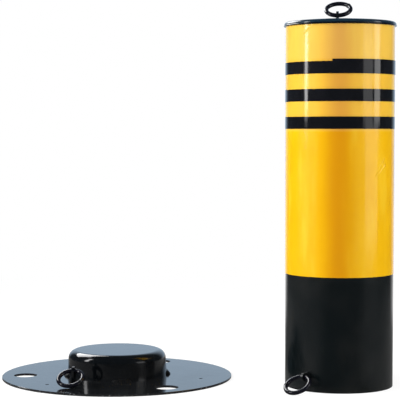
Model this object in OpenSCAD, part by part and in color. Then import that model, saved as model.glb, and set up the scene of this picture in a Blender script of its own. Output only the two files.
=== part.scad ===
// Removable safety bollard, with its floor base set down beside the post.
// Millimetres, +Z up. The origin is the centre of the base's underside.

/* [Post tube] */
// Outside diameter of the steel tube
tube_od = 140; // [120:1:200]
// Wall of the tube
tube_wall = 2; // [1.5:0.1:3]
// Length of the tube, from the floor to its upper end
tube_length = 469.5; // [420:1:900]
// Chamfer inside the tube's lower end
foot_chamfer = 0.8; // [0.3:0.1:1.2]

/* [Films] */
// Thickness of the yellow film
film_thickness = 0.4; // [0.3:0.05:0.8]
// Height of bare black tube below the yellow film
bare_height = 146.5; // [80:1:200]
// Open butt joint at the back, between the yellow film's two ends
film_joint = 1; // [0.5:0.1:3]
// Thickness of the black bands
band_thickness = 0.35; // [0.3:0.05:0.6]
// Height of a black band
band_height = 15.5; // [10:0.5:24]
// Distance from one band to the next
band_pitch = 34.7; // [28:0.1:50]
// Distance from the tube's upper end to the top of the first band
band_drop = 51; // [30:1:90]
// Angle that a band's outer end laps over its inner end
band_lap = 30; // [10:1:60]
// How much higher that outer end reaches
band_skew = 0.3; // [0.2:0.1:3]
// The same angle on the first band
first_band_lap = 120; // [60:5:180]
// How much higher the first band's outer end reaches
first_band_skew = 2.6; // [0.2:0.1:3]

/* [Top cap] */
// Sheet thickness of the pressed cap
cap_metal = 1.5; // [1.2:0.1:3]
// Straight part of the cap's skirt, between its shoulder and its bead
cap_skirt = 0.4; // [0.2:0.1:8]
// Radius of the cap's rounded shoulder
cap_shoulder = 3.5; // [3.2:0.1:4.5]
// Radius of the slightly domed crown
crown_radius = 640; // [400:10:1200]
// Radius of the rolled bead at the skirt's edge
cap_bead = 1.2; // [0.8:0.1:1.8]

/* [Rings and lugs] */
// Outside diameter of the three wire rings
ring_size = 37; // [32:0.5:50]
// Diameter of the ring wire
ring_wire = 5.5; // [4:0.5:6]
// Thickness of the flat steel lugs
lug_thickness = 3; // [3:0.5:5]
// Free play between the ring wire and the lug's hole
lug_play = 0.6; // [0.4:0.1:1]
// Metal around the lug's hole
lug_rim = 2; // [2:0.5:5]
// Metal between the hole and what the lug stands on
lift_lug_foot = 1.9; // [1.5:0.1:6]
// How far the lifting ring's lug stands off the middle of the cap, away from +X
lift_lug_offset = 3.5; // [0:0.5:10]
// How steeply the lifting ring is raised
lift_ring_rise = 33; // [0:1:90]
// Direction in which the raised lifting ring leans
lift_ring_turn = 80; // [0:1:360]
// Slope of the post's lock ring, from its lug down to the floor
post_ring_slope = 32; // [15:1:45]
// Slope of the base's lock ring, from its lug down to the flange
base_ring_slope = 29; // [15:1:45]
// Direction of the post's lock lug, counted from +X
lock_turn = 230; // [180:1:300]
// Gap between the post's wall and a lock lug's base plate
lock_gap = 2; // [1:0.5:6]
// Distance from the cup's foot out to the base's lock lug
base_lug_reach = 30.5; // [18:0.5:34]
// Direction of the base's lock lug, counted from +X
base_lug_turn = 238; // [200:1:250]
// Direction in which the base's lock ring hangs
base_ring_turn = 258; // [233:1:283]
// Leg of the fillet welds at the lugs
lug_weld = 2; // [1:0.25:2.5]

/* [Base flange] */
// Diameter of the round floor plate
flange_d = 308; // [290:1:360]
// Thickness of the floor plate
flange_thickness = 3; // [2:0.5:6]
// Chamfer on the floor plate's rim
flange_chamfer = 0.5; // [0.2:0.1:0.9]
// Circle of the three anchor holes
anchor_circle = 246; // [236:1:256]
// Diameter of an anchor hole
anchor_hole = 31; // [16:1:34]
// Direction of the first anchor hole
anchor_turn = 184; // [172:1:186]
// Circle of the three small pin holes
pin_circle = 236; // [226:1:256]
// Diameter of a pin hole
pin_hole = 5; // [3:0.5:8]
// Direction of the first pin hole
pin_turn = 223; // [215:1:235]

/* [Base cup] */
// Radial play between the cup's foot and the tube's bore
cup_play = 1; // [0.4:0.05:2]
// Height of the cup above the floor plate
cup_height = 34; // [30:1:70]
// Sheet thickness of the drawn cup
cup_metal = 2.5; // [1.5:0.1:4]
// Draft of the cup's wall, in degrees
cup_draft = 4; // [1:0.5:7]
// Radius of the cup's shoulder
cup_shoulder = 11; // [6:0.5:14]
// Leg of the stitch welds at the cup's foot
cup_weld = 4.5; // [2:0.25:6]
// Angle that each stitch weld covers
cup_weld_span = 22; // [10:1:40]
// Direction of the first stitch weld
cup_weld_turn = 8; // [0:1:20]

/* [Layout] */
// Clear distance, sideways, between the floor plate and the post
stand_gap = 69; // [40:1:150]
// How far the post stands in front of the base's centre
stand_forward = 62; // [0:1:120]

/* [Hidden] */
$fn = 96;
crown_steps = 12;
shoulder_steps = 10;
bead_steps = 10;
seat = 0.03;
cap_seat = 0.15;
floor_gap = 0.3;
holes = 3;
stitches = 4;
first_band_end = 257;
plain_band_end = 60;

tube_r = tube_od / 2;
bore_r = tube_r - tube_wall;
film_r = tube_r + 2 * seat + film_thickness;
band_r = film_r + seat + band_thickness;

cap_inner_r = film_r + 0.2;
cap_r = cap_inner_r + cap_metal;
cap_arc_z = tube_length + cap_seat + cap_metal - cap_shoulder;
bead_start = 60;
cap_low = cap_arc_z - cap_skirt - cap_bead * (1 + sin(bead_start));
top_chamfer = 0.62 * (cap_shoulder - cap_metal);
cap_arc_r = cap_r - cap_shoulder;
crown_z = cap_arc_z - sqrt(pow(crown_radius - cap_shoulder, 2) - pow(cap_arc_r, 2));
crown_top = crown_z + crown_radius;

ring_r = (ring_size - ring_wire) / 2;
hole_r = ring_wire / 2 + lug_play;
lug_r = hole_r + lug_rim;
lift_hole_h = lift_lug_foot + hole_r;
lock_r = tube_r + lock_gap + lug_r;
post_hole_h = floor_gap + ring_wire / 2 + 2 * ring_r * sin(post_ring_slope);
base_hole_h = floor_gap + ring_wire / 2 + 2 * ring_r * sin(base_ring_slope);

flange_r = flange_d / 2;
cup_r = bore_r - cup_play;
cup_arc_z = cup_height - cup_shoulder;
cup_arc_r = cup_r - cup_arc_z * tan(cup_draft) - cup_shoulder / cos(cup_draft);

post_x = flange_r + stand_gap + tube_r;
post_y = -stand_forward;

// Puts its children at the post's centre line, on the floor.
module at_post() {
    translate([post_x, post_y, 0]) children();
}

// Puts its children on the cap's crown where the lug stands, turned the way the ring leans.
module at_crown() {
    at_post() translate([-lift_lug_offset, 0, crown_top + seat])
        rotate([0, 0, lift_ring_turn]) children();
}

// A thin sleeve around the Z axis that covers span degrees from start.
module sleeve(inner_r, outer_r, low, high, start, span) {
    rotate([0, 0, start])
        rotate_extrude(angle = span)
            translate([inner_r, low]) square([outer_r - inner_r, high - low]);
}

// The steel tube, painted black: a chamfer inside its foot, and one under the cap's shoulder.
module post_tube() {
    color("#1b1e20") at_post() rotate_extrude()
        polygon([
            [bore_r + foot_chamfer, 0],
            [tube_r, 0],
            [tube_r, tube_length - top_chamfer],
            [tube_r - top_chamfer, tube_length],
            [bore_r, tube_length],
            [bore_r, foot_chamfer]
        ]);
}

// The yellow film: one turn, butt-jointed at the back, its top edge under the cap.
module yellow_film() {
    joint_angle = film_joint / tube_r * 180 / PI;
    color("#f2b705") at_post()
        sleeve(tube_r + seat, film_r, bare_height, cap_arc_z,
            90 + joint_angle / 2, 360 - joint_angle);
}

// One black band: a full turn, and the outer end that laps over it and reaches a little higher.
module black_band(index, end_angle, lap, skew) {
    high = tube_length - band_drop - index * band_pitch;
    low = high - band_height;
    color("#17191c") at_post() difference() {
        sleeve(film_r + seat, band_r + band_thickness, low, high + skew, 0, 360);
        rotate([0, 0, end_angle + lap]) rotate_extrude(angle = 360 - lap)
            polygon([
                [band_r, low - 1],
                [tube_od, low - 1],
                [tube_od, high + skew + 1],
                [bore_r, high + skew + 1],
                [bore_r, high],
                [band_r, high]
            ]);
    }
}

// The cap's line from the middle of the crown to the shoulder's lower end, offset inwards.
function cap_line(inset) =
    let (crown_end = asin(cap_arc_r / (crown_radius - cap_shoulder)))
    concat(
        [for (i = [0 : crown_steps - 1])
            let (a = crown_end * i / crown_steps)
            [(crown_radius - inset) * sin(a), crown_z + (crown_radius - inset) * cos(a)]],
        [for (i = [0 : shoulder_steps])
            let (a = crown_end + (90 - crown_end) * i / shoulder_steps)
            [cap_arc_r + (cap_shoulder - inset) * sin(a),
                cap_arc_z + (cap_shoulder - inset) * cos(a)]]
    );

// The bead at the skirt's edge, from the outer wall round to its lowest point.
function bead_line() = [
    for (i = [0 : bead_steps])
        let (a = bead_start - (bead_start + 90) * i / bead_steps)
        [cap_r + cap_bead * (cos(a) - cos(bead_start)), cap_low + cap_bead * (1 + sin(a))]
];

// The pressed steel cap: crown, shoulder and a short skirt with a rolled bead.
module top_cap() {
    inner = cap_line(cap_metal);
    color("#1d2a33") at_post() rotate_extrude()
        polygon(concat(
            cap_line(0),
            bead_line(),
            [[cap_inner_r, cap_low]],
            [for (i = [len(inner) - 1 : -1 : 0]) inner[i]]
        ));
}

// A closed wire ring that passes through the origin, running along Y there.
module wire_ring() {
    color("#15171a") translate([ring_r, 0, 0])
        rotate_extrude() translate([ring_r, 0]) circle(d = ring_wire);
}

// A flat lug that stands in the XZ plane, with its hole at hole_h above the Z = 0 face.
module standing_lug(hole_h) {
    color("#1a1c1f") rotate([90, 0, 0])
        linear_extrude(height = lug_thickness, center = true)
            difference() {
                union() {
                    translate([0, hole_h]) circle(r = lug_r);
                    translate([-lug_r, 0]) square([2 * lug_r, hole_h]);
                }
                translate([0, hole_h]) circle(r = hole_r);
                translate([-lug_r, -2 * lug_r]) square([2 * lug_r, 2 * lug_r]);
            }
}

// Two weld runs along X, in the corners between a lug and the Z = 0 face.
module lug_welds(run) {
    color("#24272a") for (side = [-1, 1])
        difference() {
            translate([0, side * lug_thickness / 2, 0]) {
                rotate([0, 90, 0]) cylinder(r = lug_weld, h = run, center = true);
                for (end = [-1, 1]) translate([end * run / 2, 0, 0]) sphere(r = lug_weld);
            }
            translate([-2 * run, -lug_thickness / 2 - seat, -2 * run])
                cube([4 * run, lug_thickness + 2 * seat, 4 * run]);
            translate([-2 * run, -2 * run, -4 * run + seat]) cube(4 * run);
        }
}

// The lifting ring's lug, on the middle of the crown.
module lift_lug() {
    at_crown() standing_lug(lift_hole_h);
}

module lift_lug_welds() {
    at_crown() lug_welds(2 * (lug_r - lug_weld));
}

// The lifting ring, raised as it is when a hand has lifted it.
module lift_ring() {
    at_crown() translate([0, 0, lift_hole_h]) rotate([0, -lift_ring_rise, 0]) wire_ring();
}

// Puts its children on the post's wall: Z points outwards there, and X down.
module at_wall() {
    at_post() rotate([0, 0, lock_turn]) translate([0, 0, post_hole_h])
        rotate([0, 90, 0]) children();
}

// The post's lock lug, cut to the curve of the tube.
module post_lug() {
    reach = lock_r - tube_r;
    difference() {
        at_wall() translate([0, 0, tube_r]) standing_lug(reach);
        at_post() cylinder(r = tube_r + seat, h = tube_length);
    }
}

module post_lug_welds() {
    difference() {
        at_wall() translate([0, 0, tube_r]) lug_welds(2 * (lug_r - lug_weld));
        at_post() cylinder(r = tube_r + seat, h = tube_length);
    }
}

// The post's lock ring, hanging from its lug down to the floor.
module post_lock_ring() {
    at_post() rotate([0, 0, lock_turn]) translate([lock_r, 0, post_hole_h])
        rotate([0, post_ring_slope, 0]) wire_ring();
}

// The round floor plate, with anchor holes and smaller pin holes.
module base_flange() {
    c = flange_chamfer;
    color("#2b3338") difference() {
        rotate_extrude()
            polygon([[0, 0], [flange_r - c, 0], [flange_r, c],
                [flange_r, flange_thickness - c], [flange_r - c, flange_thickness],
                [0, flange_thickness]]);
        hole_ring(anchor_circle, anchor_hole, anchor_turn);
        hole_ring(pin_circle, pin_hole, pin_turn);
    }
}

// Equally spaced drillings through the floor plate.
module hole_ring(circle_d, hole_d, turn) {
    for (i = [0 : holes - 1])
        rotate([0, 0, turn + i * 360 / holes]) translate([circle_d / 2, 0, -1])
            cylinder(d = hole_d, h = flange_thickness + 2);
}

// The cup's outline, offset inwards by inset.
module cup_outline(inset) {
    arc = cup_shoulder - inset;
    polygon([
        [0, 0],
        [cup_r - inset / cos(cup_draft), 0],
        [cup_arc_r + arc * cos(cup_draft), cup_arc_z + arc * sin(cup_draft)],
        [cup_arc_r, cup_arc_z],
        [cup_arc_r, cup_height - inset],
        [0, cup_height - inset]
    ]);
    translate([cup_arc_r, cup_arc_z]) circle(r = arc);
}

// The drawn cup that the post drops over.
module base_cup() {
    color("#16181a") translate([0, 0, flange_thickness + seat]) rotate_extrude()
        difference() {
            cup_outline(0);
            cup_outline(cup_metal);
            translate([-2 * cup_r, -1]) square([2 * cup_r, 2 * cup_height]);
            translate([-1, -cup_metal]) square([cup_r - cup_metal, 2 * cup_metal]);
        }
}

// Stitch welds in the corner between the cup's drafted wall and the floor plate.
module cup_welds() {
    foot_r = cup_r + seat;
    bulge = 0.72 * cup_weld;
    color("#24272a") translate([0, 0, flange_thickness + seat])
        for (i = [0 : stitches - 1])
            rotate([0, 0, cup_weld_turn + i * 360 / stitches - cup_weld_span / 2])
                rotate_extrude(angle = cup_weld_span)
                    polygon([
                        [foot_r, 0],
                        [foot_r + cup_weld, 0],
                        [foot_r + bulge, bulge],
                        [foot_r - cup_weld * tan(cup_draft), cup_weld]
                    ]);
}

// Puts its children on the floor plate where the base's lock lug stands, turned its way.
module at_base_lug() {
    rotate([0, 0, base_lug_turn]) translate([cup_r + base_lug_reach, 0, flange_thickness + seat])
        rotate([0, 0, base_ring_turn - base_lug_turn]) children();
}

module base_lug() {
    at_base_lug() standing_lug(base_hole_h);
}

module base_lug_welds() {
    at_base_lug() lug_welds(2 * (lug_r - lug_weld));
}

// The base's lock ring, hanging from its lug down to the floor plate.
module base_lock_ring() {
    at_base_lug() translate([0, 0, base_hole_h]) rotate([0, base_ring_slope, 0]) wire_ring();
}

post_tube();
yellow_film();
black_band(0, first_band_end, first_band_lap, first_band_skew);  // black_band_top
black_band(1, plain_band_end, band_lap, band_skew);  // black_band_middle
black_band(2, plain_band_end, band_lap, band_skew);  // black_band_lower
top_cap();
lift_lug();
lift_lug_welds();
lift_ring();
post_lug();
post_lug_welds();
post_lock_ring();
base_flange();
base_cup();
cup_welds();
base_lug();
base_lug_welds();
base_lock_ring();
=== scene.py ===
import math
import bmesh
import bpy
from mathutils import Matrix, Vector


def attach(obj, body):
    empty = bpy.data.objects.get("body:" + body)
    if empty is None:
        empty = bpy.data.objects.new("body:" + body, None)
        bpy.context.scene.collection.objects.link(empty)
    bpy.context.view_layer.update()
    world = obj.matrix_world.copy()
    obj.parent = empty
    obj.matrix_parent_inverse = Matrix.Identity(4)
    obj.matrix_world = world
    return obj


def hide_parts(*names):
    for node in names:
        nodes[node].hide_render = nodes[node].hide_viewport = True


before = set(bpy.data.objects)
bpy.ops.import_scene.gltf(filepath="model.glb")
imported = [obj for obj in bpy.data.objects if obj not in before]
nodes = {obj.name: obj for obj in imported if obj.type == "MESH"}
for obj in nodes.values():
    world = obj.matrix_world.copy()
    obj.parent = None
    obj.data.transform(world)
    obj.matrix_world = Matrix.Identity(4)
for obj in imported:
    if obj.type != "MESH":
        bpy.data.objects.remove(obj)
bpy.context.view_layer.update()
print("frame loaded,", len(nodes), "CAD nodes")

postPlace = (0.293, -0.062, 0.0)         # m, the middle of the post's foot, on the floor


# camera

cameraValues = {
    "lens": 132.75,                      # mm
    "sensor": 36.0,                      # mm wide
    "place": (0.1117, -1.9776, 0.3322),  # m
    "pitch": 87.283,                     # degrees, 90 is level
    "clip": (0.05, 60.0),                # m, the nearest and the farthest it sees
}


def makeCamera(v):
    data = bpy.data.cameras.new("studioCamera")
    data.lens = v["lens"]
    data.sensor_width = v["sensor"]
    data.clip_start, data.clip_end = v["clip"]
    cam = bpy.data.objects.new("studioCamera", data)
    cam.location = v["place"]
    cam.rotation_euler = (math.radians(v["pitch"]), 0, 0)
    bpy.context.scene.collection.objects.link(cam)
    bpy.context.scene.camera = cam


makeCamera(cameraValues)
bpy.context.scene.view_settings.view_transform = "Standard"
print("camera in place")


# helpers for node trees: what they are given is a socket to join on, or a plain value to set

def feed(tree, value, slot):
    if hasattr(value, "is_linked"):
        tree.links.new(value, slot)
    else:
        slot.default_value = value


def mathNode(tree, operation, a, b=None, clamp=False):
    node = tree.nodes.new("ShaderNodeMath")
    node.operation = operation
    node.use_clamp = clamp
    feed(tree, a, node.inputs[0])
    if b is not None:
        feed(tree, b, node.inputs[1])
    return node.outputs[0]


def add(tree, a, b, clamp=False):
    return mathNode(tree, "ADD", a, b, clamp)


def subtract(tree, a, b):
    return mathNode(tree, "SUBTRACT", a, b)


def multiply(tree, a, b, clamp=False):
    return mathNode(tree, "MULTIPLY", a, b, clamp)


def rangeNode(tree, value, low, high, outLow, outHigh, smooth=False):
    node = tree.nodes.new("ShaderNodeMapRange")
    node.interpolation_type = "SMOOTHSTEP" if smooth else "LINEAR"
    feed(tree, value, node.inputs["Value"])
    feed(tree, low, node.inputs["From Min"])
    feed(tree, high, node.inputs["From Max"])
    feed(tree, outLow, node.inputs["To Min"])
    feed(tree, outHigh, node.inputs["To Max"])
    return node.outputs["Result"]


def noiseNode(tree, vector, scale, detail, rough):
    node = tree.nodes.new("ShaderNodeTexNoise")
    feed(tree, vector, node.inputs["Vector"])
    feed(tree, scale, node.inputs["Scale"])
    feed(tree, detail, node.inputs["Detail"])
    feed(tree, rough, node.inputs["Roughness"])
    return node.outputs["Fac"]


def mixColour(tree, factor, a, b):
    node = tree.nodes.new("ShaderNodeMix")
    node.data_type = "RGBA"
    feed(tree, factor, node.inputs["Factor"])
    for name, value in (("A", a), ("B", b)):
        slot = [s for s in node.inputs if s.name == name and s.type == "RGBA"][0]
        feed(tree, (*value, 1) if isinstance(value, tuple) else value, slot)
    return [s for s in node.outputs if s.type == "RGBA"][0]


def bumpNode(tree, height, distance, after=None):
    node = tree.nodes.new("ShaderNodeBump")
    feed(tree, height, node.inputs["Height"])
    feed(tree, distance, node.inputs["Distance"])
    if after is not None:
        feed(tree, after, node.inputs["Normal"])
    return node.outputs["Normal"]


def vectorNode(tree, operation, a, b=None):
    node = tree.nodes.new("ShaderNodeVectorMath")
    node.operation = operation
    feed(tree, a, node.inputs[0])
    if b is not None:
        feed(tree, b, node.inputs[1])
    return node.outputs["Value" if operation == "LENGTH" else "Vector"]


def splitNode(tree, vector):
    node = tree.nodes.new("ShaderNodeSeparateXYZ")
    feed(tree, vector, node.inputs[0])
    return node.outputs["X"], node.outputs["Y"], node.outputs["Z"]


def wrapNode(tree, vector, radius):
    # metres around an upright tube and metres up it
    x, y, up = splitNode(tree, vector)
    return multiply(tree, mathNode(tree, "ARCTAN2", y, x), radius), up


def sheetNode(tree, around, up):
    node = tree.nodes.new("ShaderNodeCombineXYZ")
    feed(tree, around, node.inputs[0])
    feed(tree, up, node.inputs[1])
    return node.outputs[0]


def mixShaders(tree, factor, first, second):
    node = tree.nodes.new("ShaderNodeMixShader")
    for slot, source in zip(node.inputs, (factor, first, second)):
        feed(tree, source, slot)
    return node.outputs[0]


def startMaterial(name, centre=(0, 0, 0)):
    mat = bpy.data.materials.new(name)
    mat.use_nodes = True
    tree = mat.node_tree
    tree.nodes.clear()
    out = tree.nodes.new("ShaderNodeOutputMaterial")
    shader = tree.nodes.new("ShaderNodeBsdfPrincipled")
    feed(tree, shader.outputs["BSDF"], out.inputs["Surface"])
    place = tree.nodes.new("ShaderNodeTexCoord")
    centred = tree.nodes.new("ShaderNodeMapping")
    feed(tree, [-c for c in centre], centred.inputs["Location"])
    feed(tree, place.outputs["Object"], centred.inputs["Vector"])
    return mat, tree, shader, centred.outputs["Vector"]


def coat(tree, shader, shade, rough, normal):
    feed(tree, shade, shader.inputs["Base Color"])
    feed(tree, rough, shader.inputs["Roughness"])
    feed(tree, normal, shader.inputs["Normal"])


# finishes: colours are linear, a noise is its scale, detail and roughness, levels are the
# values of a noise between which something sets in, and depths are in metres

noiseSpan = (0.3, 0.7)                   # what a noise mostly stays within

enamelBasis = {
    "broadNoise": (14, 4, 0.6),
    "fineNoise": (420, 3, 0.55),
    "dustLevels": (0.40, 0.72),
    "lowDust": 0.75,                     # how much more dust lies at height 0
    "speckLevels": (0.62, 0.80),
    "speckShare": 0.5,                   # what the specks add to the dust that lies evenly
    "evenShare": 0.55,
    "chipLevels": (0.60, 0.64),
    "chipMetallic": 0.8,
    "chipRoughness": 0.3,                # added to the enamel's own
    "chipDepth": 0.00008,
    "ior": 1.5,
}

tubeEnamelValues = {
    **enamelBasis,
    "centre": postPlace,
    "black": (0.0030, 0.0052, 0.0060),
    "dust": (0.026, 0.025, 0.023),
    "bare": (0.24, 0.23, 0.22),
    "roughness": (0.13, 0.24),
    "peelNoise": (260, 1.5, 0.4),        # orange peel
    "peelDepth": 0.00003,
    "nickNoise": (330, 3, 0.6),
    "dustShare": 0.45,
    "dustHeight": 0.012,                 # m
    "chippedFoot": (0.0, 0.0022),        # m up, fading out
}

baseEnamelValues = {
    **enamelBasis,
    "centre": (0, 0, 0),
    "black": (0.0022, 0.0028, 0.0036),
    "dust": (0.055, 0.056, 0.058),
    "bare": (0.20, 0.20, 0.21),
    "roughness": (0.05, 0.17),
    "peelNoise": (150, 1.5, 0.4),
    "peelDepth": 0.00006,
    "nickNoise": (260, 3, 0.6),
    "dustShare": 0.10,
    "dustHeight": 0.008,
    "chippedRim": (0.1524, 0.154),       # m from the middle, setting in
}


def enamelMaterial(name, v):
    mat, tree, shader, vector = startMaterial(name, v["centre"])
    up = splitNode(tree, vector)[2]
    broad = noiseNode(tree, vector, *v["broadNoise"])
    fine = noiseNode(tree, vector, *v["fineNoise"])
    dusty = rangeNode(tree, broad, *v["dustLevels"], 0.0, v["dustShare"], True)
    low = rangeNode(tree, up, 0.0, v["dustHeight"], v["lowDust"], 0.0, True)
    dusty = add(tree, dusty, multiply(tree, low, fine), True)
    specks = rangeNode(tree, fine, *v["speckLevels"], 0.0, v["speckShare"])
    dusty = multiply(tree, dusty, add(tree, specks, v["evenShare"]), True)
    shade = mixColour(tree, dusty, v["black"], v["dust"])
    # chips of enamel off the edge: the tube's foot, or the plate's rim
    if "chippedRim" in v:
        outwards = vectorNode(tree, "LENGTH", vector)
        edge = rangeNode(tree, outwards, *v["chippedRim"], 0.0, 1.0, True)
    else:
        edge = rangeNode(tree, up, *v["chippedFoot"], 1.0, 0.0, True)
    nicks = noiseNode(tree, vector, *v["nickNoise"])
    chips = rangeNode(tree, multiply(tree, nicks, edge), *v["chipLevels"], 0.0, 1.0, True)
    shade = mixColour(tree, chips, shade, v["bare"])
    feed(tree, multiply(tree, chips, v["chipMetallic"]), shader.inputs["Metallic"])
    gloss = rangeNode(tree, broad, *noiseSpan, *v["roughness"])
    rough = add(tree, gloss, multiply(tree, chips, v["chipRoughness"]))
    skin = bumpNode(tree, noiseNode(tree, vector, *v["peelNoise"]), v["peelDepth"])
    skin = bumpNode(tree, subtract(tree, 1.0, chips), v["chipDepth"], skin)
    coat(tree, shader, shade, rough, skin)
    shader.inputs["IOR"].default_value = v["ior"]
    return mat


filmValues = {
    "lemon": (0.90, 0.50, 0.0015),
    "deep": (0.86, 0.455, 0.001),
    "pale": (0.92, 0.60, 0.03),
    "orange": (0.685, 0.285, 0.001),     # painted shade: a darker, warmer stripe down the front, which the side lamps light least
    # painted sheen: a paler, bluer tint that stands in for mirrored white higher up
    "paintedSheen": (0.80, 0.95, 0.60),
    "radius": 0.0705,                    # m
    "roughness": (0.10, 0.17),
    "cloudNoise": (19, 3, 0.55),
    "cloudLevels": (0.32, 0.68),
    "cloudShare": 0.8,
    "streakNoise": (42, 3, 0.55),
    "streakScale": (1.0, 0.16, 1.0),     # draws the streaks out up the post
    "streakLevels": (0.50, 0.72),
    "streakShare": 0.5,
    "paintedShadeStripe": (-0.1185, 0.034),          # m around the post: the painted shade's middle and its half width
    "paintedShadeWander": 0.012,               # m
    "paintedSheenSteps": [                       # painted sheen: m up where a step begins and ends, and what it adds
        (0.329, 0.333, 0.07),
        (0.418, 0.424, 0.045),
    ],
    "rippleDepth": 0.00006,              # how far the film waves on the tube
    "beadNoise": (2600, 1, 0.5),         # the fine glass-bead grain in the film
    "beadDepth": 0.000006,
    "creaseDepth": 0.0003,
    "creaseHalfWidth": 0.0018,           # m
    "creaseWander": 0.006,               # m
    "creaseSolid": 0.7,                  # of its length, before it fades out
    # creases where the film was pulled round: the rise for each metre around, the height
    # at 0 around, and where they show
    "creases": [
        {"rise": 0.75, "height": 0.5790, "around": (-0.170, -0.140), "up": (0.447, 0.470)},
        {"rise": 1.30, "height": 0.3640, "around": (-0.072, -0.050), "up": (0.262, 0.310)},
        {"rise": 0.90, "height": 0.3330, "around": (-0.067, -0.048), "up": (0.255, 0.300)},
    ],
    "ior": 1.5,
}


def creaseNode(tree, around, up, cloud, v, crease):
    along = subtract(tree, up, multiply(tree, around, crease["rise"]))
    along = add(tree, along, multiply(tree, cloud, v["creaseWander"]))
    off = subtract(tree, along, crease["height"] + v["creaseWander"] / 2)
    off = mathNode(tree, "ABSOLUTE", off)
    shown = rangeNode(tree, off, 0.0, v["creaseHalfWidth"], 1.0, 0.0, True)
    for value, (low, high) in ((around, crease["around"]), (up, crease["up"])):
        half = (high - low) / 2
        aside = mathNode(tree, "ABSOLUTE", subtract(tree, value, (low + high) / 2))
        inside = rangeNode(tree, aside, half * v["creaseSolid"], half, 1.0, 0.0, True)
        shown = multiply(tree, shown, inside)
    return shown


def filmMaterial(name, v):
    mat, tree, shader, vector = startMaterial(name, postPlace)
    around, up = wrapNode(tree, vector, v["radius"])
    flat = sheetNode(tree, around, up)
    stretched = tree.nodes.new("ShaderNodeMapping")
    feed(tree, v["streakScale"], stretched.inputs["Scale"])
    feed(tree, flat, stretched.inputs["Vector"])
    streaks = noiseNode(tree, stretched.outputs["Vector"], *v["streakNoise"])
    cloud = noiseNode(tree, flat, *v["cloudNoise"])
    warm = rangeNode(tree, cloud, *v["cloudLevels"], 0.0, v["cloudShare"], True)
    shade = mixColour(tree, warm, v["deep"], v["lemon"])
    light = rangeNode(tree, streaks, *v["streakLevels"], 0.0, v["streakShare"], True)
    shade = mixColour(tree, light, shade, v["pale"])
    # painted shade: the front of the film, lit least by the side lamps, turns darker orange
    middle, half = v["paintedShadeStripe"]
    wander = multiply(tree, subtract(tree, streaks, 0.5), v["paintedShadeWander"])
    aside = mathNode(tree, "ABSOLUTE", add(tree, subtract(tree, around, middle), wander))
    shade = mixColour(tree, rangeNode(tree, aside, 0.0, half, 1.0, 0.0, True), shade, v["orange"])
    # painted sheen: the film gets paler and bluer in steps higher up the post
    paintedSheen = [rangeNode(tree, up, low, high, 0.0, share, True) for low, high, share in v["paintedSheenSteps"]]
    shade = mixColour(tree, add(tree, *paintedSheen), shade, v["paintedSheen"])
    rough = rangeNode(tree, cloud, *noiseSpan, *v["roughness"])
    skin = bumpNode(tree, streaks, v["rippleDepth"])
    for crease in v["creases"]:
        fold = creaseNode(tree, around, up, cloud, v, crease)
        skin = bumpNode(tree, fold, v["creaseDepth"], skin)
    skin = bumpNode(tree, noiseNode(tree, flat, *v["beadNoise"]), v["beadDepth"], skin)
    coat(tree, shader, shade, rough, skin)
    shader.inputs["IOR"].default_value = v["ior"]
    return mat


bandValues = {
    "black": (0.0040, 0.0043, 0.0056),
    "faded": (0.0068, 0.0068, 0.0085),
    "radius": 0.071,                     # m
    "roughness": (0.06, 0.12),
    "cloudNoise": (24, 3, 0.6),
    "cloudLevels": (0.35, 0.70),
    "waveNoise": (60, 3, 0.5),
    "waveStretch": 0.4,                  # draws the waves out up the post
    "rippleDepth": 0.00004,
}


def bandMaterial(name, v):
    mat, tree, shader, vector = startMaterial(name, postPlace)
    around, up = wrapNode(tree, vector, v["radius"])
    flat = sheetNode(tree, around, multiply(tree, up, v["waveStretch"]))
    waves = noiseNode(tree, flat, *v["waveNoise"])
    cloud = noiseNode(tree, vector, *v["cloudNoise"])
    worn = rangeNode(tree, cloud, *v["cloudLevels"], 0.0, 1.0, True)
    shade = mixColour(tree, worn, v["black"], v["faded"])
    rough = rangeNode(tree, cloud, *noiseSpan, *v["roughness"])
    coat(tree, shader, shade, rough, bumpNode(tree, waves, v["rippleDepth"]))
    return mat


capValues = {
    # the crown's navy, with a painted reflection of the sky in it
    "navy": (0.0085, 0.025, 0.042),
    "deep": (0.002, 0.003, 0.005),
    "navyFrom": (0.4668, 0.4678),        # m up: the rolled bead below stays near black, a painted shade under the rim
    "navyShares": (0.75, 1.0),
    "roughness": (0.10, 0.20),
    "broadNoise": (30, 4, 0.6),
    "peelNoise": (300, 1.5, 0.4),
    "peelDepth": 0.00003,
}


def capMaterial(name, v):
    mat, tree, shader, vector = startMaterial(name, postPlace)
    up = splitNode(tree, vector)[2]
    broad = noiseNode(tree, vector, *v["broadNoise"])
    peel = noiseNode(tree, vector, *v["peelNoise"])
    # painted shade on the rolled bead, which stays near black; the navy above it also paints the
    # sky's reflection on the shoulder
    crown = rangeNode(tree, up, *v["navyFrom"], 0.0, 1.0, True)
    tone = multiply(tree, crown, rangeNode(tree, broad, *noiseSpan, *v["navyShares"]))
    shade = mixColour(tree, tone, v["deep"], v["navy"])
    rough = rangeNode(tree, broad, *noiseSpan, *v["roughness"])
    coat(tree, shader, shade, rough, bumpNode(tree, peel, v["peelDepth"]))
    return mat


ringValues = {
    "enamel": (0.005, 0.005, 0.009),
    "bare": (0.30, 0.29, 0.28),
    "roughness": (0.06, 0.15),
    "roughLevels": (0.3, 0.75),
    "wearNoise": (150, 5, 0.62),
    "wearLevels": (0.70, 0.74),
    "wearMetallic": 0.9,
    "wearDepth": 0.00004,
    "grainNoise": (900, 2, 0.5),
    "grainDepth": 0.000012,
}


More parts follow.
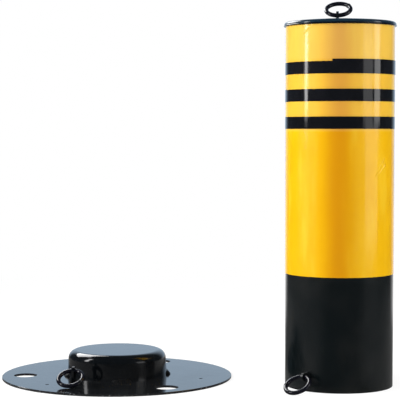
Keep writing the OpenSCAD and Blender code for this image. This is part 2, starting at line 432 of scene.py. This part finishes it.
def ringMaterial(name, v):
    mat, tree, shader, vector = startMaterial(name)
    broad = noiseNode(tree, vector, *v["wearNoise"])
    grain = noiseNode(tree, vector, *v["grainNoise"])
    worn = rangeNode(tree, broad, *v["wearLevels"], 0.0, 1.0, True)
    shade = mixColour(tree, worn, v["enamel"], v["bare"])
    feed(tree, multiply(tree, worn, v["wearMetallic"]), shader.inputs["Metallic"])
    rough = rangeNode(tree, broad, *v["roughLevels"], *v["roughness"])
    skin = bumpNode(tree, grain, v["grainDepth"], bumpNode(tree, worn, v["wearDepth"]))
    coat(tree, shader, shade, rough, skin)
    return mat


weldValues = {
    "black": (0.0035, 0.004, 0.005),
    "thin": (0.012, 0.012, 0.013),       # where the paint is thin over the lumps
    "gloss": 0.22,
    "roughness": (0.36, 0.50),
    "broadNoise": (90, 3, 0.5),
    "lumpNoise": (420, 3, 0.6),
    "thinLevels": (0.50, 0.75),
    "lumpDepth": 0.00014,
}


def weldMaterial(name, v):
    mat, tree, shader, vector = startMaterial(name)
    lumps = noiseNode(tree, vector, *v["lumpNoise"])
    broad = noiseNode(tree, vector, *v["broadNoise"])
    thin = rangeNode(tree, lumps, *v["thinLevels"], 0.0, 1.0, True)
    shade = mixColour(tree, thin, v["black"], v["thin"])
    rough = rangeNode(tree, broad, *noiseSpan, *v["roughness"])
    coat(tree, shader, shade, rough, bumpNode(tree, lumps, v["lumpDepth"]))
    shader.inputs["Specular IOR Level"].default_value = v["gloss"]
    return mat


finishes = {
    "black_enamel": enamelMaterial("tubeEnamel", tubeEnamelValues),
    "gloss_enamel": enamelMaterial("baseEnamel", baseEnamelValues),
    "yellow_film": filmMaterial("yellowFilm", filmValues),
    "black_film": bandMaterial("bandFilm", bandValues),
    "navy_enamel": capMaterial("capEnamel", capValues),
    "ring_enamel": ringMaterial("ringEnamel", ringValues),
    "painted_weld": weldMaterial("weldEnamel", weldValues),
}
for cadNode in nodes.values():
    for slot in cadNode.material_slots:
        slot.material = finishes[slot.material.name.split(".")[0]]
print("finishes on the CAD nodes:", len(finishes))


# weld beads: a rippled profile swept along each run, made by one node tree

beadTreeValues = {
    "stepsPerRipple": 8,
    "noiseScale": 160.0,
    "plainSize": 0.9,                    # of the profile, before ripples and wander
    "endSize": 0.12,                     # what is left of that at the very ends
}


def beadTree(v):
    tree = bpy.data.node_groups.new("weldBead", "GeometryNodeTree")
    # pitch and taper are in metres, depth and wander are shares of the profile's size
    inputs = {"Geometry": "Geometry", "ripplePitch": "Float", "rippleDepth": "Float",
              "wander": "Float", "endTaper": "Float", "seed": "Int",
              "profile": "Object", "finish": "Material"}
    for label, kind in inputs.items():
        tree.interface.new_socket(label, in_out="INPUT", socket_type="NodeSocket" + kind)
    tree.interface.new_socket("Geometry", in_out="OUTPUT", socket_type="NodeSocketGeometry")
    given = tree.nodes.new("NodeGroupInput").outputs
    result = tree.nodes.new("NodeGroupOutput")
    toCurve = tree.nodes.new("GeometryNodeMeshToCurve")
    feed(tree, given["Geometry"], toCurve.inputs[0])
    resample = tree.nodes.new("GeometryNodeResampleCurve")
    resample.mode = "LENGTH"
    feed(tree, toCurve.outputs[0], resample.inputs["Curve"])
    step = mathNode(tree, "DIVIDE", given["ripplePitch"], v["stepsPerRipple"])
    feed(tree, step, resample.inputs["Length"])
    # one rounded hump to each ripple's length, as the weld pool leaves it
    soFar = tree.nodes.new("GeometryNodeSplineParameter").outputs["Length"]
    saw = mathNode(tree, "FRACT", mathNode(tree, "DIVIDE", soFar, given["ripplePitch"]))
    hump = mathNode(tree, "SQRT", mathNode(tree, "SINE", multiply(tree, saw, math.pi)))
    height = multiply(tree, hump, given["rippleDepth"])
    noise = tree.nodes.new("ShaderNodeTexNoise")
    noise.noise_dimensions = "4D"
    feed(tree, v["noiseScale"], noise.inputs["Scale"])
    feed(tree, given["seed"], noise.inputs["W"])
    drift = multiply(tree, subtract(tree, noise.outputs["Fac"], 0.5), given["wander"])
    # both ends are rounded off over the length of the taper
    total = tree.nodes.new("GeometryNodeSplineLength").outputs["Length"]
    nearEnd = mathNode(tree, "MINIMUM", soFar, subtract(tree, total, soFar))
    taper = mathNode(tree, "DIVIDE", nearEnd, given["endTaper"], True)
    square = mathNode(tree, "POWER", subtract(tree, 1.0, taper), 2.0)
    rounded = mathNode(tree, "SQRT", subtract(tree, 1.0, square))
    ending = add(tree, multiply(tree, rounded, 1.0 - v["endSize"]), v["endSize"])
    size = add(tree, add(tree, height, drift), v["plainSize"])
    size = multiply(tree, size, ending)
    setUp = tree.nodes.new("GeometryNodeSetCurveNormal")
    setUp.mode = "Z_UP"
    feed(tree, resample.outputs[0], setUp.inputs["Curve"])
    shape = tree.nodes.new("GeometryNodeObjectInfo")
    feed(tree, given["profile"], shape.inputs["Object"])
    outline = tree.nodes.new("GeometryNodeMeshToCurve")
    feed(tree, shape.outputs["Geometry"], outline.inputs[0])
    sweep = tree.nodes.new("GeometryNodeCurveToMesh")
    feed(tree, setUp.outputs["Curve"], sweep.inputs["Curve"])
    feed(tree, outline.outputs[0], sweep.inputs["Profile Curve"])
    feed(tree, size, sweep.inputs["Scale"])
    feed(tree, True, sweep.inputs["Fill Caps"])
    real = tree.nodes.new("GeometryNodeRealizeInstances")
    feed(tree, sweep.outputs[0], real.inputs[0])
    paint = tree.nodes.new("GeometryNodeSetMaterial")
    feed(tree, real.outputs[0], paint.inputs["Geometry"])
    feed(tree, given["finish"], paint.inputs["Material"])
    feed(tree, paint.outputs[0], result.inputs[0])
    return tree


def runTree(piece, tree, values):
    modifier = piece.modifiers.new(tree.name, "NODES")
    modifier.node_group = tree
    given = [item for item in tree.interface.items_tree if item.in_out == "INPUT"]
    keys = {item.name: item.identifier for item in given}
    for label, value in values.items():
        modifier[keys[label]] = value
    bpy.context.view_layer.update()
    view = bpy.context.evaluated_depsgraph_get()
    mesh = bpy.data.meshes.new_from_object(piece.evaluated_get(view), depsgraph=view)
    piece.modifiers.remove(modifier)
    old = piece.data
    piece.data = mesh
    bpy.data.meshes.remove(old)
    mesh.name = piece.name
    return piece


def polyline(name, runs, closed=False):
    mesh = bpy.data.meshes.new(name)
    points, edges = [], []
    for run in runs:
        first = len(points)
        points += [tuple(p) for p in run]
        edges += [(first + i, first + i + 1) for i in range(len(run) - 1)]
        if closed:
            edges.append((len(points) - 1, first))
    mesh.from_pydata(points, edges, [])
    piece = bpy.data.objects.new(name, mesh)
    bpy.context.scene.collection.objects.link(piece)
    return piece


smoothValues = {
    "merge": 1e-6,                       # m, points nearer than this become one
    "sharpFrom": 40,                     # degrees between two faces
}


def smooth(piece, v):
    work = bmesh.new()
    work.from_mesh(piece.data)
    bmesh.ops.remove_doubles(work, verts=work.verts, dist=v["merge"])
    bmesh.ops.recalc_face_normals(work, faces=work.faces)
    for face in work.faces:
        face.smooth = True
    limit = math.radians(v["sharpFrom"])
    for edge in work.edges:
        edge.smooth = len(edge.link_faces) == 2 and edge.calc_face_angle(0) < limit
    work.to_mesh(piece.data)
    work.free()
    return piece


beadMaker = beadTree(beadTreeValues)


def sweptBeads(name, runs, profile, values, place=None, closed=False):
    piece = runTree(polyline(name, runs, closed), beadMaker,
                    dict(values, profile=profile, finish=finishes["painted_weld"]))
    bpy.data.objects.remove(profile)
    if place is not None:
        piece.data.transform(place)
    return smooth(piece, smoothValues)


cornerValues = {
    "overlap": 0.0002,                   # m, how far the profile goes into both plates
    "steps": 10,
    "bulge": 0.06,
    "roundness": 1.35,                   # 1 is a straight face, 2 a quarter circle
}


def cornerProfile(leg, v):
    # the corner of two plates, filled by a bulging weld, to the right of the path; its Y is
    # drawn downwards, because the sweep turns it over
    points = [(-v["overlap"], v["overlap"], 0)]
    power = v["roundness"]
    for i in range(v["steps"] + 1):
        a = math.pi / 2 * i / v["steps"]
        bulge = 1.0 + v["bulge"] * math.sin(2 * a)
        reach = leg / (math.cos(a) ** power + math.sin(a) ** power) ** (1 / power) * bulge
        points.append((reach * math.cos(a), -reach * math.sin(a), 0))
    return polyline("cornerProfile", [points], True)


cupBeadValues = {
    "footRadius": 0.06703,               # m
    "plateTop": 0.00306,                 # m up
    "leg": 0.0048,                       # m
    "count": 4,
    "span": 22.0,                        # degrees
    "turn": 8.0,                         # degrees, the middle of the first
    "steps": 24,                         # along a run
    "bead": {"ripplePitch": 0.0026, "rippleDepth": 0.09, "wander": 0.26, "endTaper": 0.0045,
             "seed": 3},
}


def makeCupBeads(v):
    runs = []
    for i in range(v["count"]):
        start = v["turn"] + i * 360 / v["count"] - v["span"] / 2
        angles = [math.radians(start + v["span"] * j / v["steps"]) for j in range(v["steps"] + 1)]
        runs.append([(v["footRadius"] * math.cos(a), v["footRadius"] * math.sin(a), v["plateTop"])
                     for a in angles])
    return sweptBeads("cupWeldBeads", runs, cornerProfile(v["leg"], cornerValues), v["bead"])


cupBeads = makeCupBeads(cupBeadValues)
print("cup beads:", len(cupBeads.data.polygons), "faces")
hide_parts("cup_welds")
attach(cupBeads, "post_and_base")


# beads at the three lugs: each pair is laid out flat and then turned onto its wall

lugBeadValues = {
    "halfThickness": 0.0015,             # m, of the lug
    "halfRun": 0.0051,                   # m
    "leg": 0.0020,                       # m
    "steps": 12,                         # along a run
    "bead": {"ripplePitch": 0.0011, "rippleDepth": 0.14, "wander": 0.12, "endTaper": 0.0018},
    # the point under the lug, the lug's own direction, and the way out of its wall
    "places": {
        "lift_lug_welds": {
            "name": "liftLugBeads", "seed": 11, "origin": (0.2895, -0.062, 0.47487),
            "along": (0.17365, 0.98481, 0), "outward": (0, 0, 1)},
        "post_lug_welds": {
            "name": "postLugBeads", "seed": 12, "origin": (0.248005, -0.115623, 0.019742),
            "along": (0, 0, -1), "outward": (-0.64279, -0.76604, 0)},
        "base_lug_welds": {
            "name": "baseLugBeads", "seed": 13, "origin": (-0.051667, -0.082685, 0.00302),
            "along": (-0.20791, -0.97815, 0), "outward": (0, 0, 1)},
    },
}


def standingPlace(origin, along, outward):
    x, z = Vector(along), Vector(outward)
    y = z.cross(x)
    turn = Matrix((x, y, z)).transposed().to_4x4()
    return Matrix.Translation(origin) @ turn


def makeLugBeads(v):
    for node, p in v["places"].items():
        runs = []
        for side in (-1, 1):
            # the two runs go opposite ways, so that each has its weld on the outside
            xs = [(v["halfRun"] - 2 * v["halfRun"] * i / v["steps"]) * side
                  for i in range(v["steps"] + 1)]
            runs.append([(x, side * v["halfThickness"], 0) for x in xs])
        piece = sweptBeads(p["name"], runs, cornerProfile(v["leg"], cornerValues),
                           dict(v["bead"], seed=p["seed"]),
                           standingPlace(p["origin"], p["along"], p["outward"]))
        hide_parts(node)
        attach(piece, "post_and_base")
        print(node, "beads:", len(piece.data.polygons), "faces")


makeLugBeads(lugBeadValues)


# each ring is one bent wire, welded shut: a low bead goes round the wire there

ringJointValues = {
    "ringRadius": 0.01575,               # m, to the middle of the wire
    "wireRadius": 0.00275,               # m
    "wireSteps": 28,
    "bulge": 0.00042,                    # m above the wire
    "overlap": 0.0002,                   # m into the wire
    "halfWidth": 0.0013,                 # m
    "lensSteps": 4,
    "bead": {"ripplePitch": 0.0009, "rippleDepth": 0.18, "wander": 0.3, "endTaper": 0.00001},
    # the ring's middle, its hinge and the hinge's way, and the degrees from the hinge to the joint
    "rings": {
        "lift_ring": {
            "name": "liftJoint", "seed": 21, "middle": (0.29179, -0.04899, 0.48872),
            "hinge": (0.2895, -0.062, 0.480144), "across": (0.984808, -0.173648, 0),
            "angle": 128},
        "post_lock_ring": {
            "name": "postLockJoint", "seed": 22, "middle": (0.23469, -0.13149, 0.01140),
            "hinge": (0.24328, -0.121254, 0.019742), "across": (-0.766044, 0.642788, 0),
            "angle": 105},
        "base_lock_ring": {
            "name": "baseLockJoint", "seed": 23, "middle": (-0.05453, -0.09616, 0.01372),
            "hinge": (-0.051667, -0.082685, 0.021352), "across": (-0.978148, 0.207912, 0),
            "angle": -118},
    },
}


def jointProfile(v):
    half = v["halfWidth"]
    angles = [math.pi / 2 * k / v["lensSteps"] for k in range(1 - v["lensSteps"], v["lensSteps"])]
    lens = [(v["bulge"] * math.cos(a), half * math.sin(a), 0) for a in angles]
    points = [(-v["overlap"], -half, 0), *lens, (-v["overlap"], half, 0)]
    return polyline("jointProfile", [points], True)


def makeRingJoints(v):
    bodies = {"lift_ring": "lifting_ring", "post_lock_ring": "post_ring",
              "base_lock_ring": "base_ring"}
    turns = [math.tau * i / v["wireSteps"] for i in range(v["wireSteps"])]
    run = [(v["wireRadius"] * math.cos(t), v["wireRadius"] * math.sin(t), 0) for t in turns]
    for node, r in v["rings"].items():
        centre = Vector(r["middle"])
        inwards = (Vector(r["hinge"]) - centre).normalized()
        sideways = Vector(r["across"]).normalized()
        a = math.radians(r["angle"])
        radial = inwards * math.cos(a) + sideways * math.sin(a)
        tangent = sideways * math.cos(a) - inwards * math.sin(a)
        piece = sweptBeads(r["name"], [run], jointProfile(v), dict(v["bead"], seed=r["seed"]),
                           standingPlace(centre + radial * v["ringRadius"], radial, tangent), True)
        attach(piece, bodies[node])
        print(node, "joint:", len(piece.data.polygons), "faces")


makeRingJoints(ringJointValues)


# stage: what the camera sees of floor and world is white, what the gloss mirrors is set apart

mirrorValues = {
    "behind": (0.62, 0.92),              # of a unit direction's Y, setting in
    "right": (-0.62, -0.30),             # of its X
}


def backShare(tree, direction, v, front, back):
    # bright straight behind and to the right, dark at the left and in front
    x, y = splitNode(tree, direction)[:2]
    behind = rangeNode(tree, y, *v["behind"], 0.0, 1.0, True)
    right = rangeNode(tree, x, *v["right"], 0.0, 1.0, True)
    return rangeNode(tree, multiply(tree, behind, right), 0.0, 1.0, front, back)


def directRays(tree, path):
    return add(tree, path.outputs["Is Camera Ray"], path.outputs["Is Transmission Ray"], True)


def glow(tree, strength):
    node = tree.nodes.new("ShaderNodeEmission")
    feed(tree, strength, node.inputs["Strength"])
    return node.outputs[0]


def diffuse(tree, colour):
    node = tree.nodes.new("ShaderNodeBsdfDiffuse")
    feed(tree, (*colour, 1), node.inputs["Color"])
    return node.outputs[0]


stageValues = {
    "floorSize": 9.0,                    # m
    "floorColour": (0.80, 0.80, 0.80),
    "shadowShare": 0.30,                 # how much of the floor's white comes from its lighting
    "lighting": 0.62,                    # what a white floor gets from the lamps
    "shadowReach": (0.5, 1.3),           # m from the middle, where the shadow fades out
    "mirrored": (0.06, 0.95),            # the floor in the gloss, in front of the object and behind
    "sideGlow": 0.14,                    # more of it near the post, to its left and right
    "sideWidth": (0.45, 0.85),           # of a unit direction's X, setting in
    "sideReach": (0.9, 1.5),             # m from the post, fading out
    "backReach": (0.5, 0.9),             # m from the post, setting in
    "backNear": 0.3,                     # the share close to the post
}


def makeFloor(v):
    mesh = bpy.data.meshes.new("studioFloor")
    half = v["floorSize"] / 2
    corners = [(-half, -half, 0), (half, -half, 0), (half, half, 0), (-half, half, 0)]
    mesh.from_pydata(corners, [], [(0, 1, 2, 3)])
    floor = bpy.data.objects.new("studioFloor", mesh)
    bpy.context.scene.collection.objects.link(floor)
    mat = bpy.data.materials.new("studioFloor")
    mat.use_nodes = True
    tree = mat.node_tree
    tree.nodes.clear()
    out = tree.nodes.new("ShaderNodeOutputMaterial")
    place = tree.nodes.new("ShaderNodeTexCoord").outputs["Object"]
    path = tree.nodes.new("ShaderNodeLightPath")
    # for the camera: near the object a white that keeps its shadow, further out plain white
    share = v["shadowShare"]
    near = tree.nodes.new("ShaderNodeAddShader")
    feed(tree, diffuse(tree, (share, share, share)), near.inputs[0])
    feed(tree, glow(tree, 1.0 - share * v["lighting"]), near.inputs[1])
    away = rangeNode(tree, vectorNode(tree, "LENGTH", place), *v["shadowReach"], 0.0, 1.0, True)
    seen = mixShaders(tree, away, near.outputs[0], glow(tree, 1.0))
    # for the gloss: by the direction and the distance from the post
    fromPost = vectorNode(tree, "SUBTRACT", place, postPlace)
    unit = vectorNode(tree, "NORMALIZE", fromPost)
    reach = vectorNode(tree, "LENGTH", fromPost)
    aside = mathNode(tree, "ABSOLUTE", splitNode(tree, unit)[0])
    beside = rangeNode(tree, aside, *v["sideWidth"], 0.0, v["sideGlow"], True)
    beside = multiply(tree, beside, rangeNode(tree, reach, *v["sideReach"], 1.0, 0.0, True))
    front, back = v["mirrored"]
    behind = backShare(tree, unit, mirrorValues, 0.0, back - front)
    deeper = rangeNode(tree, reach, *v["backReach"], v["backNear"], 1.0, True)
    behind = multiply(tree, behind, deeper)
    shine = glow(tree, add(tree, add(tree, behind, beside), front))
    last = mixShaders(tree, path.outputs["Is Glossy Ray"], diffuse(tree, v["floorColour"]), shine)
    feed(tree, mixShaders(tree, directRays(tree, path), last, seen), out.inputs["Surface"])
    mesh.materials.append(mat)


makeFloor(stageValues)


worldValues = {
    "fill": 0.32,                        # light on the object from all sides
    "front": 0.07,                       # what gloss mirrors from the camera's side
    "back": 0.95,                        # and from behind the object
    "backColour": (0.62, 0.80, 1.0),
    "white": (1, 1, 1),
}


def background(tree, colour, strength):
    node = tree.nodes.new("ShaderNodeBackground")
    feed(tree, (*colour, 1), node.inputs["Color"])
    feed(tree, strength, node.inputs["Strength"])
    return node.outputs[0]


def makeWorld(v):
    world = bpy.data.worlds.new("studioWorld")
    bpy.context.scene.world = world
    world.use_nodes = True
    tree = world.node_tree
    tree.nodes.clear()
    out = tree.nodes.new("ShaderNodeOutputWorld")
    path = tree.nodes.new("ShaderNodeLightPath")
    place = tree.nodes.new("ShaderNodeTexCoord")
    level = backShare(tree, place.outputs["Generated"], mirrorValues, v["front"], v["back"])
    fill = background(tree, v["white"], v["fill"])
    mirrored = background(tree, v["backColour"], level)
    last = mixShaders(tree, path.outputs["Is Glossy Ray"], fill, mirrored)
    last = mixShaders(tree, directRays(tree, path), last, background(tree, v["white"], 1.0))
    feed(tree, last, out.inputs["Surface"])


makeWorld(worldValues)


lampValues = {
    "aimHeight": 0.25,                   # m, on the post's middle line
    "levelBelow": 1.2,                   # m: lamps set lower than this look level at that line
    # kind, turn in degrees to the right of the camera's side, metres away, height, size and
    # brightness; a fill only lights, a glint only shows in the gloss
    "lamps": {
        "leftStrip": ("both", -79, 1.9, 1.01, (0.25, 1.28), 9.5),
        "rightStrip": ("both", 77, 1.7, 0.94, (0.46, 1.18), 3.2),
        "rightPanel": ("both", 54, 1.7, 0.48, (0.66, 0.27), 1.3),
        "rightLow": ("glint", 64, 1.7, 0.2, (0.95, 0.3), 1.2),
        "leftHigh": ("glint", -136, 1.7, 1.38, (1.35, 0.95), 8.0),
        "leftFill": ("fill", -78, 1.6, 0.5, (1.4, 1.8), 4.1),
        "rightFill": ("fill", 48, 1.6, 0.5, (1.4, 1.8), 2.1),
        "topPanel": ("fill", -20, 0.4, 2.2, (1.6, 1.6), 1.3),
    },
}


def makeLamps(v):
    aim = Vector(postPlace) + Vector((0, 0, v["aimHeight"]))
    for name, (kind, turn, away, height, size, bright) in v["lamps"].items():
        a = math.radians(turn)
        place = Vector((aim.x + away * math.sin(a), aim.y - away * math.cos(a), height))
        data = bpy.data.lights.new(name, "AREA")
        data.shape = "RECTANGLE"
        data.size, data.size_y = size
        data.energy = bright * math.pi * data.size * data.size_y
        lamp = bpy.data.objects.new(name, data)
        lamp.location = place
        lamp.rotation_mode = "QUATERNION"
        target = Vector((aim.x, aim.y, place.z)) if height < v["levelBelow"] else aim
        lamp.rotation_quaternion = (target - place).to_track_quat("-Z", "Y")
        lamp.visible_camera = False
        lamp.visible_glossy = kind != "fill"
        lamp.visible_diffuse = kind != "glint"
        bpy.context.scene.collection.objects.link(lamp)


makeLamps(lampValues)
print("stage, world and", len(lampValues["lamps"]), "lamps made")
